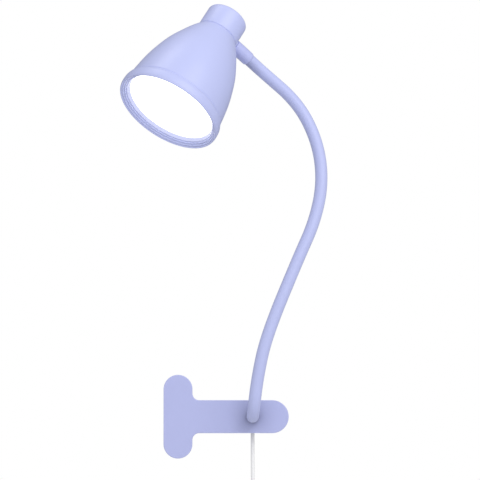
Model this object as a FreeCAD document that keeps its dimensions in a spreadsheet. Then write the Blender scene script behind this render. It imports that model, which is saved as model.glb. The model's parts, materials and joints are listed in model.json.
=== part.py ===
# Clip-on reading lamp: T-shaped spring clip, flexible neck, bell shade with an LED disc,
# a cord with an inline dimmer, a USB plug and a mains adapter.
# Millimetres.  +Z up, +X along the clip's handles, +Y from the front jaw into the board
# that it grips.  The origin is the middle of the front pad's gripping face.
import FreeCAD, Part
import Sketcher
import os
import math
from FreeCAD import Placement, Rotation
from FreeCAD import Vector as V

doc = FreeCAD.newDocument("ClipLamp")
sheet = doc.addObject("Spreadsheet::Sheet", "dims")


class Dim:
    """A length that is both a number and a formula on the sheet."""

    def __init__(self, value, text):
        self.value = value
        self.text = text

    def _with(self, other, op, flip=False):
        ov, ot = (other.value, other.text) if isinstance(other, Dim) else (other, repr(float(other)))
        a, b, ta, tb = (ov, self.value, ot, self.text) if flip else (self.value, ov, self.text, ot)
        value = {"+": a + b, "-": a - b, "*": a * b, "/": a / b if b else 0.0}[op]
        return Dim(value, "(%s %s %s)" % (ta, op, tb))

    def __add__(self, o): return self._with(o, "+")
    def __radd__(self, o): return self._with(o, "+", True)
    def __sub__(self, o): return self._with(o, "-")
    def __rsub__(self, o): return self._with(o, "-", True)
    def __mul__(self, o): return self._with(o, "*")
    def __rmul__(self, o): return self._with(o, "*", True)
    def __truediv__(self, o): return self._with(o, "/")
    def __neg__(self): return Dim(-self.value, "(0 - %s)" % self.text)


def num(e):
    return e.value if isinstance(e, Dim) else float(e)


class Dims:
    pass


d = Dims()
rows = [
    ("plate_thick", 1.5), ("pad_thick", 2.5),
    ("bar_half_width", 11.5), ("bar_half_height", 33.3),
    ("stem_half_height", 13.1), ("stem_end_x", 88.2), ("inner_round", 5.5),
    ("rear_bar_left", 9.5), ("rear_bar_half_height", 32.0),
    ("hinge_x", 40.0), ("hinge_y", 12.0), ("hinge_gap", 14.5), ("closed_angle", 27.2),
    ("pin_radius", 1.5), ("pin_head_radius", 2.6), ("lug_radius", 5.0), ("lug_thick", 1.3),
    ("front_lug_low", 10.9), ("rear_lug_low", 9.4),
    ("wire_radius", 0.7), ("coil_mean_radius", 4.2), ("coil_pitch", 1.5),
    ("neck_x", 59.5), ("neck_radius", 4.9), ("core_radius", 3.0), ("socket_radius", 5.0),
    ("base_bend_radius", 17.0), ("nipple_radius", 2.9), ("nut_flats", 10.0), ("nut_thick", 4.0),
    ("ferrule_radius", 5.6), ("stud_radius", 3.0),
    ("rim_radius", 43.0), ("shade_length", 78.8), ("cap_radius", 16.91), ("cap_top", 98.85),
    ("cap_wall", 1.8), ("boss_radius", 5.5), ("stud_height", 82.7), ("glow_radius", 36.2),
    ("lens_radius", 40.8), ("lens_thick", 2.0), ("board_radius", 36.4),
    ("cord_radius", 1.5), ("elbow_radius", 3.0), ("cord_y", 8.5),
    ("hank_radius", 17.0), ("hank_z", -85.0),
    ("box_width", 27.0), ("box_length", 68.6), ("box_depth", 12.0), ("box_wall", 1.5),
    ("box_top", -134.0), ("button_radius", 5.5), ("button_pitch", 13.2), ("button_first", 12.6),
    ("button_travel", 0.8), ("plug_x", 44.0), ("plug_y", 33.5),
    ("adapter_width", 33.0), ("adapter_depth", 27.0), ("adapter_length", 41.0),
    ("adapter_top", -159.0), ("blade_gap", 12.7), ("blade_length", 16.0),
]
for row, (alias, value) in enumerate(rows, start=1):
    sheet.set("A%d" % row, alias.replace("_", " "))
    sheet.set("B%d" % row, repr(value))
    sheet.setAlias("B%d" % row, alias)
    setattr(d, alias, Dim(value, "dims." + alias))
doc.recompute()


def bind(obj, prop, e):
    if isinstance(e, Dim):
        obj.setExpression(prop, e.text)
    else:
        setattr(obj, prop, e)


def along(point, direction):
    """Placement whose local Z runs along direction from point."""
    return Placement(V(*point), Rotation(V(0, 0, 1), V(*direction)))


nodes = []


def node(obj, placement=None):
    if placement is not None:
        obj.Placement = placement
    nodes.append(obj)
    return obj


def cylinder(name, radius, height, at=None):
    o = doc.addObject("Part::Cylinder", name)
    bind(o, "Radius", radius)
    bind(o, "Height", height)
    if at is not None:
        o.Placement = at
    return o


def box(name, lx, ly, lz, corner):
    o = doc.addObject("Part::Box", name)
    bind(o, "Length", lx)
    bind(o, "Width", ly)
    bind(o, "Height", lz)
    o.Placement = Placement(V(*[num(c) for c in corner]), Rotation())
    return o


def sphere(name, radius, centre):
    o = doc.addObject("Part::Sphere", name)
    bind(o, "Radius", radius)
    o.Placement = Placement(V(*centre), Rotation())
    return o


def fuse(name, *parts):
    o = doc.addObject("Part::MultiFuse", name)
    o.Shapes = list(parts)
    return o


def cut(name, base, *tools):
    o = doc.addObject("Part::Cut", name)
    o.Base = base
    o.Tool = tools[0] if len(tools) == 1 else fuse(name + "_tools", *tools)
    return o


def group(name, *parts):
    o = doc.addObject("Part::Compound", name)
    o.Links = list(parts)
    return o


def coded(name, shape, placement=None):
    o = doc.addObject("Part::Feature", name)
    o.Shape = shape
    if placement is not None:
        o.Placement = placement
    return o


def prism(name, flats, height, at):
    """A regular hexagon, across its flats."""
    o = doc.addObject("Part::Prism", name)
    o.Polygon = 6
    bind(o, "Circumradius", flats / (2 * math.cos(math.radians(30))))
    bind(o, "Height", height)
    o.Placement = at
    return o


def rounded(name, base, radius, test):
    """Part::Fillet on the edges that pass the test."""
    doc.recompute()
    o = doc.addObject("Part::Fillet", name)
    o.Base = base
    o.Edges = [(i, radius, radius) for i, e in enumerate(base.Shape.Edges, start=1) if test(e)]
    return o


# ---------------------------------------------------------------- sketch helpers
def origin_plane(body, role):
    return [f for f in body.Origin.OriginFeatures if f.Role == role][0]


def outline(body, name, role, points, segments=None, offset=None, circles=()):
    """A closed outline on an origin plane.  Every corner is held from the sketch's origin
    by constraints bound to the sheet.  A segment is None for a line, or
    (which centre coordinate is held, cx, cy, counter-clockwise) for an arc."""
    sk = body.newObject("Sketcher::SketchObject", name)
    sk.AttachmentSupport = [(origin_plane(body, role), "")]
    sk.MapMode = "FlatFace"
    if offset is not None:
        sk.AttachmentOffset = Placement(V(0, 0, num(offset)), Rotation())
        if isinstance(offset, Dim):
            sk.setExpression("AttachmentOffset.Base.z", offset.text)
    n = len(points)
    segments = segments or [None] * n
    ends = []
    for i in range(n):
        p, q = points[i], points[(i + 1) % n]
        a, b = V(num(p[0]), num(p[1]), 0), V(num(q[0]), num(q[1]), 0)
        if segments[i] is None:
            g = sk.addGeometry(Part.LineSegment(a, b), False)
            ends.append((g, 1, 2))
        else:
            c = V(num(segments[i][1]), num(segments[i][2]), 0)
            aa, ab = math.atan2(a.y - c.y, a.x - c.x), math.atan2(b.y - c.y, b.x - c.x)
            ccw = segments[i][3]
            lo, hi = (aa, ab) if ccw else (ab, aa)
            if hi <= lo:
                hi += 2 * math.pi
            g = sk.addGeometry(Part.ArcOfCircle(Part.Circle(c, V(0, 0, 1), (a - c).Length), lo, hi), False)
            ends.append((g, 1, 2) if ccw else (g, 2, 1))

    def hold(kind, geo, pos, e):
        if abs(num(e)) < 1e-9:
            axis = -2 if kind == "DistanceX" else -1
            sk.addConstraint(Sketcher.Constraint("PointOnObject", geo, pos, axis))
            return
        k = sk.addConstraint(Sketcher.Constraint(kind, -1, 1, geo, pos, num(e)))
        if isinstance(e, Dim):
            sk.setExpression("Constraints[%d]" % k, e.text)

    for i in range(n):
        g, first, last = ends[i]
        g2, first2, _ = ends[(i + 1) % n]
        sk.addConstraint(Sketcher.Constraint("Coincident", g, last, g2, first2))
        hold("DistanceX", g, first, points[i][0])
        hold("DistanceY", g, first, points[i][1])
        if segments[i] is not None:
            if segments[i][0] == "x":
                hold("DistanceX", g, 3, segments[i][1])
            else:
                hold("DistanceY", g, 3, segments[i][2])
    for cx, cy, r in circles:
        g = sk.addGeometry(Part.Circle(V(num(cx), num(cy), 0), V(0, 0, 1), num(r)), False)
        hold("DistanceX", g, 3, cx)
        hold("DistanceY", g, 3, cy)
        k = sk.addConstraint(Sketcher.Constraint("Radius", g, num(r)))
        if isinstance(r, Dim):
            sk.setExpression("Constraints[%d]" % k, r.text)
    return sk


def new_body(name):
    return doc.addObject("PartDesign::Body", name)


def pad(body, name, sk, length, reverse=False):
    f = body.newObject("PartDesign::Pad", name)
    f.Profile = sk
    f.Length = num(length)
    if isinstance(length, Dim):
        f.setExpression("Length", length.text)
    f.Reversed = reverse
    return f


def revolve(body, name, sk):
    f = body.newObject("PartDesign::Revolution", name)
    f.Profile = sk
    f.ReferenceAxis = (sk, ["V_Axis"])
    f.Angle = 360.0
    return f


def turned(name, points, placement=None):
    """A PartDesign body turned about its own Z from (radius, height) points."""
    b = new_body(name)
    revolve(b, name + "_turn", outline(b, name + "_section", "XZ_Plane", points))
    if placement is not None:
        b.Placement = placement
    return b


def body_round(body, name, feature, radius, test):
    doc.recompute()
    f = body.newObject("PartDesign::Fillet", name)
    f.Base = (feature, ["Edge%d" % i for i, e in enumerate(feature.Shape.Edges, start=1) if test(e)])
    f.Radius = radius
    return f


# ---------------------------------------------------------------- tube helpers
def route_wire(points, radii):
    """Straight runs joined by tangent arcs; radii[i] belongs to points[i + 1]."""
    pts = [V(*p) for p in points]
    edges, here = [], pts[0]
    for i in range(1, len(pts) - 1):
        a, b, c = pts[i - 1], pts[i], pts[i + 1]
        u, w = (b - a).normalize(), (c - b).normalize()
        turn = math.acos(max(-1, min(1, u.dot(w))))
        t = radii[i - 1] * math.tan(turn / 2)
        p, q = b - u * t, b + w * t
        mid_dir = (w - u).normalize()
        bulge = radii[i - 1] / math.cos(turn / 2) - radii[i - 1]
        m = b + mid_dir * bulge
        if (p - here).Length > 1e-6:
            edges.append(Part.LineSegment(here, p).toShape())
        edges.append(Part.Arc(p, m, q).toShape())
        here = q
    edges.append(Part.LineSegment(here, pts[-1]).toShape())
    return Part.Wire(edges)


def free_radii(points, share=0.45, most=None):
    """Each arc as large as its two runs allow."""
    out = []
    pts = [V(*p) for p in points]
    for i in range(1, len(pts) - 1):
        u, w = pts[i] - pts[i - 1], pts[i + 1] - pts[i]
        turn = u.getAngle(w)
        r = share * min(u.Length, w.Length) / math.tan(turn / 2)
        out.append(min(r, most) if most else r)
    return out


def tube(points, radii, radius):
    wire = route_wire(points, radii)
    first = V(*points[1]) - V(*points[0])
    ring = Part.Wire([Part.Circle(V(*points[0]), first, radius).toShape()])
    solid = wire.makePipeShell([ring], True, False)
    want = math.pi * radius ** 2 * wire.Length
    if abs(solid.Volume - want) > 0.01 * want:
        raise RuntimeError("tube volume %.1f is not %.1f" % (solid.Volume, want))
    return solid


# ---------------------------------------------------------------- front jaw
face_out = -(d.pad_thick + d.plate_thick)


def jaw_outline(body, name, half_height, y_shift):
    """The T: a round-ended bar across a round-ended stem."""
    bar, st, en, rd = d.bar_half_width, d.stem_half_height, d.stem_end_x, d.inner_round
    # the bar's ends are round: centre height
    cap = half_height - bar
    pts = [(bar, -cap), (bar, -(st + rd)), (bar + rd, -st), (en - st, -st),
           (en - st, st), (bar + rd, st), (bar, st + rd), (bar, cap),
           (-bar, cap), (-bar, -cap)]
    seg = [None, ("x", bar + rd, -(st + rd), False), None, ("x", en - st, 0.0, True),
           None, ("x", bar + rd, st + rd, False), None, ("y", 0.0, cap, True),
           None, ("y", 0.0, -cap, True)]
    return outline(body, name, "XZ_Plane", pts, seg, offset=y_shift)


def lug_outline(body, name, root_y, z_from):
    hx, hy, r = d.hinge_x, d.hinge_y, d.lug_radius
    pts = [(hx - 8.0, root_y), (hx + 8.0, root_y), (hx + r, hy), (hx - r, hy)]
    if num(root_y) > num(hy):
        pts = [(hx + 8.0, root_y), (hx - 8.0, root_y), (hx - r, hy), (hx + r, hy)]
    seg = [None, None, ("y", hx, hy, True), None]
    return outline(body, name, "XY_Plane", pts, seg, offset=z_from,
                   circles=[(hx, hy, d.pin_radius + 0.05)])


# The XZ plane's normal is -Y, so an offset of +o lies at y = -o.
front = new_body("front_jaw_plate")
sk = jaw_outline(front, "front_plate_outline", d.bar_half_height, d.pad_thick)
pad(front, "front_plate_sheet", sk, d.plate_thick)
sk = lug_outline(front, "front_lug_up", -(d.pad_thick + 0.5), d.front_lug_low)
pad(front, "front_lug_upper", sk, d.lug_thick)
sk = lug_outline(front, "front_lug_down", -(d.pad_thick + 0.5), -(d.front_lug_low + d.lug_thick))
pad(front, "front_lug_lower", sk, d.lug_thick)
hole = front.newObject("Sketcher::SketchObject", "neck_hole_sketch")
hole.AttachmentSupport = [(origin_plane(front, "XZ_Plane"), "")]
hole.MapMode = "FlatFace"
g = hole.addGeometry(Part.Circle(V(num(d.neck_x), 0, 0), V(0, 0, 1), num(d.nipple_radius) + 0.15), False)
k = hole.addConstraint(Sketcher.Constraint("DistanceX", -1, 1, g, 3, num(d.neck_x)))
hole.setExpression("Constraints[%d]" % k, d.neck_x.text)
hole.addConstraint(Sketcher.Constraint("PointOnObject", g, 3, -1))
k = hole.addConstraint(Sketcher.Constraint("Radius", g, num(d.nipple_radius) + 0.15))
hole.setExpression("Constraints[%d]" % k, (d.nipple_radius + 0.15).text)
f = front.newObject("PartDesign::Pocket", "neck_hole")
f.Profile = hole
f.Type = "ThroughAll"
f.Midplane = True
doc.recompute()
last = f


def on_outer_face(e):
    y = num(face_out)
    return all(abs(v.Point.y - y) < 1e-4 for v in e.Vertexes) and e.BoundBox.YLength < 1e-3 \
        and not (e.BoundBox.XMin > 50 and e.BoundBox.XMax < 65)


body_round(front, "front_plate_edge", last, 0.55, on_outer_face)
node(front)

pad_body = new_body("front_jaw_pad")
bw, bh = d.bar_half_width - 0.8, d.bar_half_height - d.bar_half_width
sk = outline(pad_body, "front_pad_outline", "XZ_Plane",
             [(bw, -bh), (bw, bh), (-bw, bh), (-bw, -bh)],
             [None, ("y", 0.0, bh, True), None, ("y", 0.0, -bh, True)])
pad(pad_body, "front_pad_slab", sk, d.pad_thick)
groove_end = bh + bw + 1.0
for i, gx in enumerate((-6.8, -4.4, 5.4, 7.8)):
    sk = outline(pad_body, "front_groove_%d" % i, "XZ_Plane",
                 [(gx, -groove_end), (gx + 0.8, -groove_end), (gx + 0.8, groove_end), (gx, groove_end)])
    f = pad_body.newObject("PartDesign::Pocket", "front_grip_groove_%d" % i)
    f.Profile = sk
    f.Length = 0.7
    f.Reversed = True
node(pad_body)

# ---------------------------------------------------------------- rear jaw, shut
closed = Placement(V(0, 0, 0), Rotation(V(0, 0, 1), num(d.closed_angle)), V(num(d.hinge_x), num(d.hinge_y), 0))
rear_inner = d.hinge_y + d.hinge_gap
rear = new_body("rear_jaw_plate")
bar, st, en, rd = d.bar_half_width, d.stem_half_height, d.stem_end_x, d.inner_round
rl, cap = d.rear_bar_left, d.rear_bar_half_height - d.bar_half_width
mid = (bar - rl) / 2
half = (bar + rl) / 2
cap = d.rear_bar_half_height - half
pts = [(bar, -cap), (bar, -(st + rd)), (bar + rd, -st), (en - st, -st),
       (en - st, st), (bar + rd, st), (bar, st + rd), (bar, cap), (-rl, cap), (-rl, -cap)]
seg = [None, ("x", bar + rd, -(st + rd), False), None, ("x", en - st, 0.0, True),
       None, ("x", bar + rd, st + rd, False), None, ("y", mid, cap, True),
       None, ("y", mid, -cap, True)]
sk = outline(rear, "rear_plate_outline", "XZ_Plane", pts, seg, offset=-(rear_inner + d.plate_thick))
pad(rear, "rear_plate_sheet", sk, d.plate_thick)
sk = lug_outline(rear, "rear_lug_up", rear_inner + 0.5, d.rear_lug_low)
pad(rear, "rear_lug_upper", sk, d.lug_thick)
sk = lug_outline(rear, "rear_lug_down", rear_inner + 0.5, -(d.rear_lug_low + d.lug_thick))
last = pad(rear, "rear_lug_lower", sk, d.lug_thick)
doc.recompute()


def on_rear_face(e):
    y = num(rear_inner + d.plate_thick)
    return all(abs(v.Point.y - y) < 1e-4 for v in e.Vertexes) and e.BoundBox.YLength < 1e-3


body_round(rear, "rear_plate_edge", last, 0.55, on_rear_face)
node(rear, closed)

rear_pad = new_body("rear_jaw_pad")
pw = half - 0.8
sk = outline(rear_pad, "rear_pad_outline", "XZ_Plane",
             [(mid + pw, -cap), (mid + pw, cap), (mid - pw, cap), (mid - pw, -cap)],
             [None, ("y", mid, cap, True), None, ("y", mid, -cap, True)], offset=-rear_inner)
pad(rear_pad, "rear_pad_slab", sk, d.pad_thick)
for i, gx in enumerate((-5.6, -1.9, 3.1, 6.8)):
    sk = outline(rear_pad, "rear_groove_%d" % i, "XZ_Plane",
                 [(gx, -(cap + 2.0)), (gx + 0.8, -(cap + 2.0)), (gx + 0.8, cap + 2.0), (gx, cap + 2.0)],
                 offset=-(rear_inner - d.pad_thick))
    f = rear_pad.newObject("PartDesign::Pocket", "rear_grip_groove_%d" % i)
    f.Profile = sk
    f.Length = 0.7
node(rear_pad, closed)

# ---------------------------------------------------------------- hinge pin and springs
hx, hy = num(d.hinge_x), num(d.hinge_y)
reach = d.front_lug_low + d.lug_thick
shaft = cylinder("pin_shaft", d.pin_radius, 2 * reach + 0.2, along((hx, hy, -num(reach) - 0.1), (0, 0, 1)))
head_a = cylinder("pin_head_up", d.pin_head_radius, 0.7, along((hx, hy, num(reach) + 0.1), (0, 0, 1)))
head_b = cylinder("pin_head_down", d.pin_head_radius, 0.7, along((hx, hy, -num(reach) - 0.8), (0, 0, 1)))
node(fuse("hinge_pin", shaft, head_a, head_b))

wr, cr, pitch = num(d.wire_radius), num(d.coil_mean_radius), num(d.coil_pitch)
shut = math.radians(num(d.closed_angle))


def on_rear(s, inside):
    """A point s along the shut rear handle, inside its inner face."""
    g = num(d.hinge_gap) - inside
    return V(hx - g * math.sin(shut) + s * math.cos(shut), hy + g * math.cos(shut) + s * math.sin(shut), 0)


def wire_leg(a, b):
    return Part.makeCylinder(wr, (b - a).Length, a, b - a)


to_rear, to_front = on_rear(26.0, wr + 0.05), V(62.0, -num(d.pad_thick) + wr + 0.05, 0)
v = to_rear - V(hx, hy, 0)
start = math.atan2(v.y, v.x) + math.atan2(math.sqrt(v.Length ** 2 - cr ** 2), cr)
v = to_front - V(hx, hy, 0)
end = math.atan2(v.y, v.x) - math.atan2(math.sqrt(v.Length ** 2 - cr ** 2), cr)
turns = 3.0 + ((end - start) / (2 * math.pi)) % 1.0
z_in = 3.0
helix = Part.makeHelix(pitch, turns * pitch, cr)
helix.rotate(V(0, 0, 0), V(0, 0, 1), math.degrees(start))
helix.translate(V(hx, hy, z_in))
ring = Part.Wire([Part.Circle(V(hx + cr * math.cos(start), hy + cr * math.sin(start), z_in),
                              V(-math.sin(start), math.cos(start), pitch / (2 * math.pi * cr)), wr).toShape()])
coil = Part.Wire(helix).makePipeShell([ring], True, True)
a0 = V(hx + cr * math.cos(start), hy + cr * math.sin(start), z_in)
a1 = V(hx + cr * math.cos(end), hy + cr * math.sin(end), z_in + turns * pitch)
legs = [wire_leg(a0, V(to_rear.x, to_rear.y, z_in)), wire_leg(a1, V(to_front.x, to_front.y, a1.z)),
        Part.makeSphere(wr, a0), Part.makeSphere(wr, a1)]
upper = coil.fuse(legs)
lower = upper.mirror(V(0, 0, 0), V(0, 0, 1))
print("spring solids", len(upper.Solids), "volume", round(upper.Volume, 1), "top", round(upper.BoundBox.ZMax, 2))
node(coded("torsion_springs", Part.Compound([upper, lower])))

# ---------------------------------------------------------------- the flexible neck's route
corners = [(num(d.neck_x), num(face_out), 0.0), (num(d.neck_x), -30.8, 0.0), (63.3, -30.9, 32.2),
           (70.7, -28.1, 65.0), (95.5, -17.4, 125.2), (108.88, -11.5, 154.9), (115.62, -5.9, 186.85),
           (111.78, -1.8, 219.3), (96.26, 0.2, 251.0), (67.02, -9.85, 275.29), (56.62, -14.98, 284.3)]


def between(i, share):
    a, b = V(*corners[i]), V(*corners[i + 1])
    return a + (b - a) * share


joints = [between(1, 22.0 / 32.5), between(3, 24.0 / 66.0), between(4, 0.5), between(6, 0.5), between(8, 0.5)]
head_dir = (V(*corners[-1]) - V(*corners[-2])).normalize()
shade_n = V(-0.4595, -0.4316, -0.7762)
shade_n = (shade_n - head_dir * shade_n.dot(head_dir)).normalize()
neck_axis = V(*corners[-1]) + head_dir * 33.9
lens_centre = neck_axis + shade_n * num(d.stud_height)
print("joints", [tuple(round(c, 3) for c in j) for j in joints])
print("joint tangents", [tuple(round(c, 4) for c in (V(*corners[i + 1]) - V(*corners[i])).normalize()) for i in (1, 3, 4, 6, 8)])
print("head_dir", tuple(round(c, 4) for c in head_dir), "shade_n", tuple(round(c, 4) for c in shade_n))
print("neck_axis", tuple(round(c, 2) for c in neck_axis), "lens_centre", tuple(round(c, 2) for c in lens_centre))

spans = [
    [corners[0], corners[1], joints[0]],
    [joints[0], corners[2], corners[3], joints[1]],
    [joints[1], corners[4], joints[2]],
    [joints[2], corners[5], corners[6], joints[3]],
    [joints[3], corners[7], corners[8], joints[4]],
    [joints[4], corners[9], tuple(V(*corners[10]) + head_dir * 8.0)],
]


def span_radii(points, first):
    out = []
    pts = [V(*p) for p in points]
    for i in range(1, len(pts) - 1):
        u, w = pts[i] - pts[i - 1], pts[i + 1] - pts[i]
        # runs that end in a joint keep a straight length beside it
        lu = u.Length - (5.5 if i == 1 and not first else 0) if i == 1 else u.Length * 0.46
        lw = w.Length - 5.5 if i == len(pts) - 2 else w.Length * 0.46
        if first:
            out.append(num(d.base_bend_radius))
        else:
            out.append(min(lu, lw) / math.tan(u.getAngle(w) / 2))
    return out


nr, kr, sr = num(d.neck_radius), num(d.core_radius), num(d.socket_radius)
for i, span in enumerate(spans):
    radii = span_radii(span, i == 0)
    skin = tube(span, radii, nr)
    bore = tube(span, radii, kr)
    core = bore
    if i > 0:
        hollow = Part.makeSphere(sr, V(*span[0]))
        skin = skin.cut(hollow)
        core = core.cut(hollow)
    if i == 0:
        core = core.cut(Part.makeCylinder(6, 8.2, V(num(d.neck_x), -12.2, 0), V(0, 1, 0)))
    if i < len(spans) - 1:
        skin = skin.fuse(Part.makeSphere(nr, V(*span[-1])))
    skin = skin.cut(bore)
    node(coded("neck_sleeve_%d" % (i + 1), skin))
    node(coded("neck_core_%d" % (i + 1), core))
    print("neck", i + 1, "radii", [round(r, 1) for r in radii], "solids", len(skin.Solids), len(core.Solids))

# nipple, washer and nut that hold the neck on the front plate
nx = num(d.neck_x)
node(cylinder("neck_nipple", d.nipple_radius, 14.2, along((nx, 2.2, 0), (0, -1, 0))))
wash = cut("neck_washer", cylinder("washer_disc", 5.8, 0.8, along((nx, -1.7, 0), (0, -1, 0))),
           cylinder("washer_hole", d.nipple_radius + 0.1, 2.0, along((nx, -1.0, 0), (0, -1, 0))))
node(wash)
nut = cut("neck_nut", prism("nut_hex", d.nut_flats, d.nut_thick - 0.1, along((nx, 2.2, 0), (0, -1, 0))),
          cylinder("nut_hole", d.nipple_radius + 0.02, 8.0, along((nx, 4.0, 0), (0, -1, 0))))
node(nut)

# ---------------------------------------------------------------- ferrule and swivel stud
f_len = 33.9 - 17.2
end_at = corners[-1]
ferrule = cut("head_ferrule",
              rounded("ferrule_round", cylinder("ferrule_blank", d.ferrule_radius, f_len, along(end_at, head_dir)), 0.8,
                      lambda e: e.BoundBox.XMin > 0 and len(e.Vertexes) == 1),
              cylinder("ferrule_bore", d.neck_radius + 0.02, 8.0, along(end_at, head_dir)),
              cylinder("ferrule_stud_bore", d.stud_radius + 0.02, 20.0, along(end_at, head_dir)))
node(ferrule)
stud_from = tuple(V(*end_at) + head_dir * 8.4)
node(cylinder("swivel_stud", d.stud_radius, 33.9 - 8.4 - 7.8, along(stud_from, head_dir)))


def from_neck_axis(dist):
    """A point on the ferrule's line, dist before the shade's axis."""
    return tuple(neck_axis - head_dir * dist)


node(cut("swivel_washer", cylinder("sw_disc", 5.0, 0.8, along(from_neck_axis(13.2), head_dir)),
         cylinder("sw_hole", d.stud_radius + 0.02, 2.0, along(from_neck_axis(13.8), head_dir))))
node(cut("swivel_nut", prism("sn_hex", Dim(9.0, "9.0"), 3.8, along(from_neck_axis(12.35), head_dir)),
         cylinder("sn_hole", d.stud_radius + 0.02, 6.0, along(from_neck_axis(13.2), head_dir))))

# ---------------------------------------------------------------- shade, turned about its own axis
shade_at = Placement(lens_centre, Rotation(V(0, 0, 1), -shade_n))
# keep the swivel line on the shade's local +X: turn about the shade axis
local = shade_at.Rotation.inverted().multVec(head_dir)
spin = math.degrees(math.atan2(local.y, local.x))
shade_at = Placement(lens_centre, shade_at.Rotation.multiply(Rotation(V(0, 0, 1), spin)))

outer_pts = [(15.6, 39.76), (27.3, 38.0), (39.0, 35.2), (50.7, 31.45), (62.4, 26.06),
             (71.8, 21.12), (78.8, 16.5)]


def spline(pts):
    c = Part.BSplineCurve()
    c.interpolate([V(r, 0, z) for z, r in pts])
    return c


rim = num(d.rim_radius)
bell = spline([(6.05, 40.9)] + outer_pts)
inner = spline([(11.4, 38.15), (15.6, 37.65), (27.3, 35.95), (39.0, 33.15), (50.7, 29.4), (62.4, 24.0),
                (71.8, 19.1), (78.8, 14.45)])
edges = [
    Part.Arc(V(41.0, 0, -4.5), V(42.1, 0, -4.1), V(42.64, 0, -3.2)).toShape(),
    Part.Arc(V(42.64, 0, -3.2), V(rim, 0, -0.9), V(42.6, 0, 2.7)).toShape(),
    Part.LineSegment(V(42.6, 0, 2.7), V(41.95, 0, 5.2)).toShape(),
    Part.Arc(V(41.95, 0, 5.2), V(41.55, 0, 5.8), V(40.9, 0, 6.05)).toShape(),
    bell.toShape(),
    Part.LineSegment(V(16.5, 0, 78.8), V(14.45, 0, 78.8)).toShape(),
    inner.toShape(),
    Part.LineSegment(V(38.15, 0, 11.4), V(38.0, 0, 3.8)).toShape(),
    Part.LineSegment(V(38.0, 0, 3.8), V(41.0, 0, 3.8)).toShape(),
    Part.LineSegment(V(41.0, 0, 3.8), V(41.0, 0, -4.5)).toShape(),
]
section = Part.Face(Part.Wire(Part.__sortEdges__(edges)))
bell_solid = section.revolve(V(0, 0, 0), V(0, 0, 1), 360)
if bell_solid.Volume < 0:
    bell_solid.reverse()
posts = []
for i in range(3):
    a = math.radians(60 + 120 * i)
    posts.append(Part.makeCylinder(2.5, 24.6, V(30.0 * math.cos(a), 30.0 * math.sin(a), 17.4)))
bell_solid = bell_solid.fuse(posts)
bores = [Part.makeCylinder(1.0, 9.0, V(30.0 * math.cos(math.radians(60 + 120 * i)),
                                       30.0 * math.sin(math.radians(60 + 120 * i)), 17.0)) for i in range(3)]
bell_solid = bell_solid.cut(bores)
boss_clear = Part.makeCylinder(num(d.boss_radius) + 0.35, 14.0, V(-8.0, 0, num(d.stud_height)), V(-1, 0, 0))
bell_solid = bell_solid.cut(boss_clear)
print("bell solids", len(bell_solid.Solids), "volume", round(bell_solid.Volume))
node(coded("shade_bell", bell_solid), shade_at)

cr_, cw, ct = num(d.cap_radius), num(d.cap_wall), num(d.cap_top)
cap_pts = [(14.3, 73.0), (14.3, 78.85), (d.cap_radius, 78.85), (d.cap_radius, d.cap_top),
           (0.0, d.cap_top), (0.0, d.cap_top - 2.0), (d.cap_radius - d.cap_wall, d.cap_top - 2.0),
           (d.cap_radius - d.cap_wall, 79.6), (12.8, 78.2), (12.8, 73.0)]
cap_body = turned("cap_shell", cap_pts)
body_round(cap_body, "cap_edge", cap_body.Tip, 3.0,
           lambda e: abs(e.BoundBox.ZMin - ct) < 1e-3 and abs(e.BoundBox.ZMax - ct) < 1e-3 and e.BoundBox.XMax > cr_ - 0.1)
sh = d.stud_height
boss = cylinder("cap_boss", d.boss_radius, 4.4, along((-12.6, 0, num(sh)), (-1, 0, 0)))
cap_all = fuse("cap_with_boss", cap_body, boss)
cap_node = cut("shade_cap", cap_all,
               cylinder("cap_seat", 6.0, 13.35, along((0, 0, num(sh)), (-1, 0, 0))),
               cylinder("cap_stud_hole", d.stud_radius + 0.2, 30.0, along((0, 0, num(sh)), (-1, 0, 0))))
node(cap_node, shade_at)

node(turned("bezel_ring", [(40.9, -4.0), (40.9, 1.8), (d.glow_radius, 1.8), (37.9, -0.7), (38.35, -0.7),
                           (38.9, -2.3), (39.35, -2.3), (40.0, -4.0)]), shade_at)
node(cylinder("diffuser", d.lens_radius, d.lens_thick - 0.02), Placement(lens_centre - shade_n * 1.8, shade_at.Rotation))
node(turned("reflector", [(37.6, 3.9), (37.6, 13.2), (36.9, 14.0), (32.5, 14.0), (36.6, 3.9)]), shade_at)
screw_xy = [(30.0 * math.cos(math.radians(60 + 120 * i)), 30.0 * math.sin(math.radians(60 + 120 * i))) for i in range(3)]
holes = [cylinder("board_hole_%d" % i, 1.3, 4.0, along((x, y, 13.0), (0, 0, 1))) for i, (x, y) in enumerate(screw_xy)]
node(cut("led_board", cylinder("board_disc", d.board_radius, 1.2, along((0, 0, 14.0), (0, 0, 1))), *holes), shade_at)
holes = [cylinder("spreader_hole_%d" % i, 1.3, 4.0, along((x, y, 14.5), (0, 0, 1))) for i, (x, y) in enumerate(screw_xy)]
node(cut("heat_spreader", cylinder("spreader_disc", 34.6, 2.2, along((0, 0, 15.2), (0, 0, 1))), *holes), shade_at)
chips = []
for ring_r, count in ((10.0, 6), (20.0, 12)):
    for i in range(count):
        a = 2 * math.pi * i / count + 0.1
        chips.append(box("chip_%d_%d" % (count, i), 2.8, 3.5, 0.8,
                         (ring_r * math.cos(a) - 1.4, ring_r * math.sin(a) - 1.75, 13.2)))
node(group("led_chips", *chips), shade_at)
screws = []
for i, (x, y) in enumerate(screw_xy):
    screws.append(fuse("led_screw_%d" % i, cylinder("screw_head_%d" % i, 2.1, 1.2, along((x, y, 12.8), (0, 0, 1))),
                       cylinder("screw_shank_%d" % i, 0.98, 10.0, along((x, y, 13.9), (0, 0, 1)))))
node(group("led_screws", *screws), shade_at)

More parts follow.
